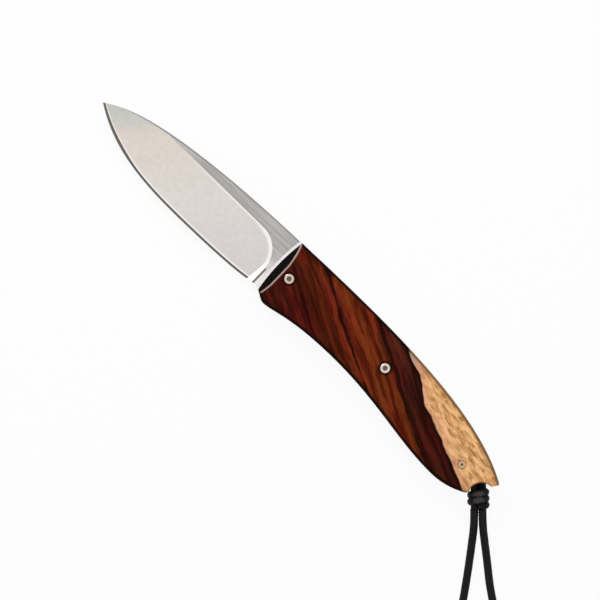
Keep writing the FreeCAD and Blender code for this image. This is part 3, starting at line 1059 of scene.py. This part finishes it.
# %% [markdown]
# ## Rims and seats
# The rounded rim of the wood is painted dark as shade, because it turns away from the overhead lamp,
# and along the belly, where the crown slopes away, the painted shade starts a little further in. The
# wood is also darker round the screws and the pin. The rim is read from the rounded normal and the
# seats from the distance to an axis, so both follow the real shape.

# %% Rims and seats
rim_tilt, lower_rim, belly_side, belly_shift = (0.95, 0.885), (0.1, 0.4), (0.1, -0.1), 0.03
# The rim colours are painted shade, near black on heartwood and brown on sapwood.
heart_rim_shade, sap_rim_shade = tint(10, 2, 1), tint(124, 93, 58)
screw_seat, dark_round_screws = (2.5, 1.9), tint(18, 4, 2)
pin_seat, dark_round_pin = (1.7, 1.15), tint(104, 76, 48)


def with_rim_shade(wood, tone, in_sap):
    """Wood with painted shade on its rounded rim, half as strong on the faces that stand upright."""
    belly = face_normal(tone)[1].step(*belly_side)
    level = abs(rounded_normal(tone)[2])
    # Painted shade on the rounded rim, starting further in along the belly.
    rim_shade = (level - belly_shift * belly).step(*rim_tilt) * (0.5 + 0.5 * level.step(*lower_rim))
    return rim_shade.between(wood, in_sap.between(heart_rim_shade, sap_rim_shade), share=0.92)


def seated(wood, x, y):
    """Wood that is darker round the screws and the pin."""
    from_screw = from_axis(x, y, "upper_pivot_screw").least(from_axis(x, y, "upper_mid_screw"))
    # The wood is darker in rings round the screws and the pin.
    wood = from_screw.step(*screw_seat).between(wood, dark_round_screws, share=0.85)
    return from_axis(x, y, "lanyard_pin").step(*pin_seat).between(wood, dark_round_pin, share=0.6)


print("dirt reaches", screw_seat[0], "mm from a screw and", pin_seat[0], "mm from the pin")

# %% [markdown]
# ## Front end of the wood
# The scales end in a bevel at the front. Its end grain is dark wood, and painted shade makes it nearly
# black, because it faces away from the light. The edge behind it carries a pale painted highlight where it
# catches the light. The end grain is found by its normal, which points to the blade. The edge is found
# by its distance from the plane of the bevel.

# %% Front end of the wood
bevel_start_x, bevel_slope = -3.0, 1.36
end_tilt, painted_end_shade = (-0.6, -0.72), tint(4, 2, 2)
edge_highlight_reach, edge_highlight_x, edge_highlight_level = (0.85, 0.45), (-1.5, -2.5), (0.7, 0.9)
painted_edge_highlight = tint(186, 164, 154)
knife_thickness = 2 * middle_z / mm


def front_end(wood, tone, x, z):
    """Wood with painted shade on its end grain and a painted highlight on the edge behind it."""
    normal_x, _, normal_z = face_normal(tone)
    end_grain = normal_x.step(*end_tilt)
    # Painted shade on the end grain.
    wood = end_grain.between(wood, painted_end_shade)
    depth = z.least(knife_thickness - z)
    past_bevel = depth + bevel_slope * (x - bevel_start_x)
    on_face = (1 - end_grain) * abs(normal_z).step(*edge_highlight_level)
    # Painted highlight on the edge behind the bevel.
    edge_highlight = past_bevel.step(*edge_highlight_reach) * on_face * x.step(*edge_highlight_x)
    return edge_highlight.between(wood, painted_edge_highlight, share=0.85)


print("front bevel leans", round(math.degrees(math.atan(bevel_slope))), "degrees")

# %% [markdown]
# ## Wooden scales
# The layers are laid over each other: heartwood, veins, border and sapwood, then the painted shade of
# the rim, the darker seats, and the front end with its painted shade and painted highlight. Oiled wood
# hardly mirrors anything, so its shine is set low, and pores and streaks break up what is left of it.

# %% Wooden scales
streak_stretch, pore_stretch = (0.045, 0.6, 0.5), (0.35, 4.0, 3.0)
border_shade, border_brown = (-1.6, -0.4), tint(20, 6, 4)
border_edge = (-0.25, 0.25)
oiled = 0.3


def scale_wood():
    """Heartwood and sapwood with slanting grain, and painted shade on the end grain and on the rim."""
    material, tone, shader = finish("heart and sap wood", {"Specular IOR Level": 0.03})
    x, y, z = place_in_mm(tone)
    along, ring, ripple = wood_grain(x, y, z)
    place = (along, ring, z)
    streaks = noise(place, streak_stretch, detail=4.0, roughness=0.6)
    pores = noise(place, pore_stretch, detail=2.0)
    border = past_border(x, ring)
    in_sap = border.step(*border_edge)

    heart = veined(heartwood(place, streaks, pores), place)
    heart = border.step(*border_shade).between(heart, border_brown, share=0.8)
    wood = in_sap.between(heart, sapwood(x, y, z, ripple, border))
    wood = seated(with_rim_shade(wood, tone, in_sap), x, y)
    front_end(wood, tone, x, z).into(shader, "Base Color")
    (oiled + 0.16 * pores + 0.1 * in_sap).into(shader, "Roughness")
    bump(pores + 0.5 * streaks, strength=0.16, distance=0.08 * mm).into(shader, "Normal")
    return material


dress(scale_wood(), "lower_scale", "upper_scale")

# %% [markdown]
# ## Lanyard finish
# The cord is black nylon with a faint painted sheen on the tops of its yarns. The knot stands highest,
# and there the tops of the yarns carry a painted grey highlight. The braid is real shape already, so the
# finish only adds fine fibres, a little uneven wear, and the two painted greys where a yarn faces upwards.

# %% Lanyard finish
fibre_stretch, wear_stretch = (9.0, 9.0, 9.0), (0.4, 0.4, 0.4)
deep_black, worn_black = tint(3, 3, 4), tint(10, 10, 11)
fibre_grey, sheen_grey, knot_highlight_grey = tint(28, 29, 30), tint(36, 36, 37), tint(96, 92, 90)
facing_up, knot_highlight_height = (0.75, 1.0), (8.6, 9.5)
wear_mix, fibre_mix = (0.35, 0.7), (0.5, 0.8)
smooth_yarn = 0.22


def black_nylon():
    """Black nylon yarn with fine fibres, a painted sheen on its tops and a painted highlight on the knot.
    """
    material, tone, shader = finish("black nylon", {"Specular IOR Level": 0.12})
    place = place_in_mm(tone)
    fibres = noise(place, fibre_stretch)
    wear = noise(place, wear_stretch, detail=2.0)
    black = wear.step(*wear_mix).between(deep_black, worn_black)
    black = fibres.step(*fibre_mix).between(black, fibre_grey, share=0.5)
    # Painted sheen where a yarn faces upwards.
    yarn_top = abs(rounded_normal(tone)[2]).step(*facing_up)
    black = yarn_top.between(black, sheen_grey, share=0.5)
    # Painted highlight on the tops of the knot's yarns.
    knot_highlight = place[2].step(*knot_highlight_height) * yarn_top
    knot_highlight.between(black, knot_highlight_grey, share=0.9).into(shader, "Base Color")
    (smooth_yarn + 0.2 * fibres).into(shader, "Roughness")
    bump(fibres, strength=0.3, distance=0.06 * mm).into(shader, "Normal")
    return material


nylon = black_nylon()
for piece in (pull_loop, lanyard_eye, lanyard_knot):
    piece.data.materials.append(nylon)
print("lanyard pieces dressed in", nylon.name)
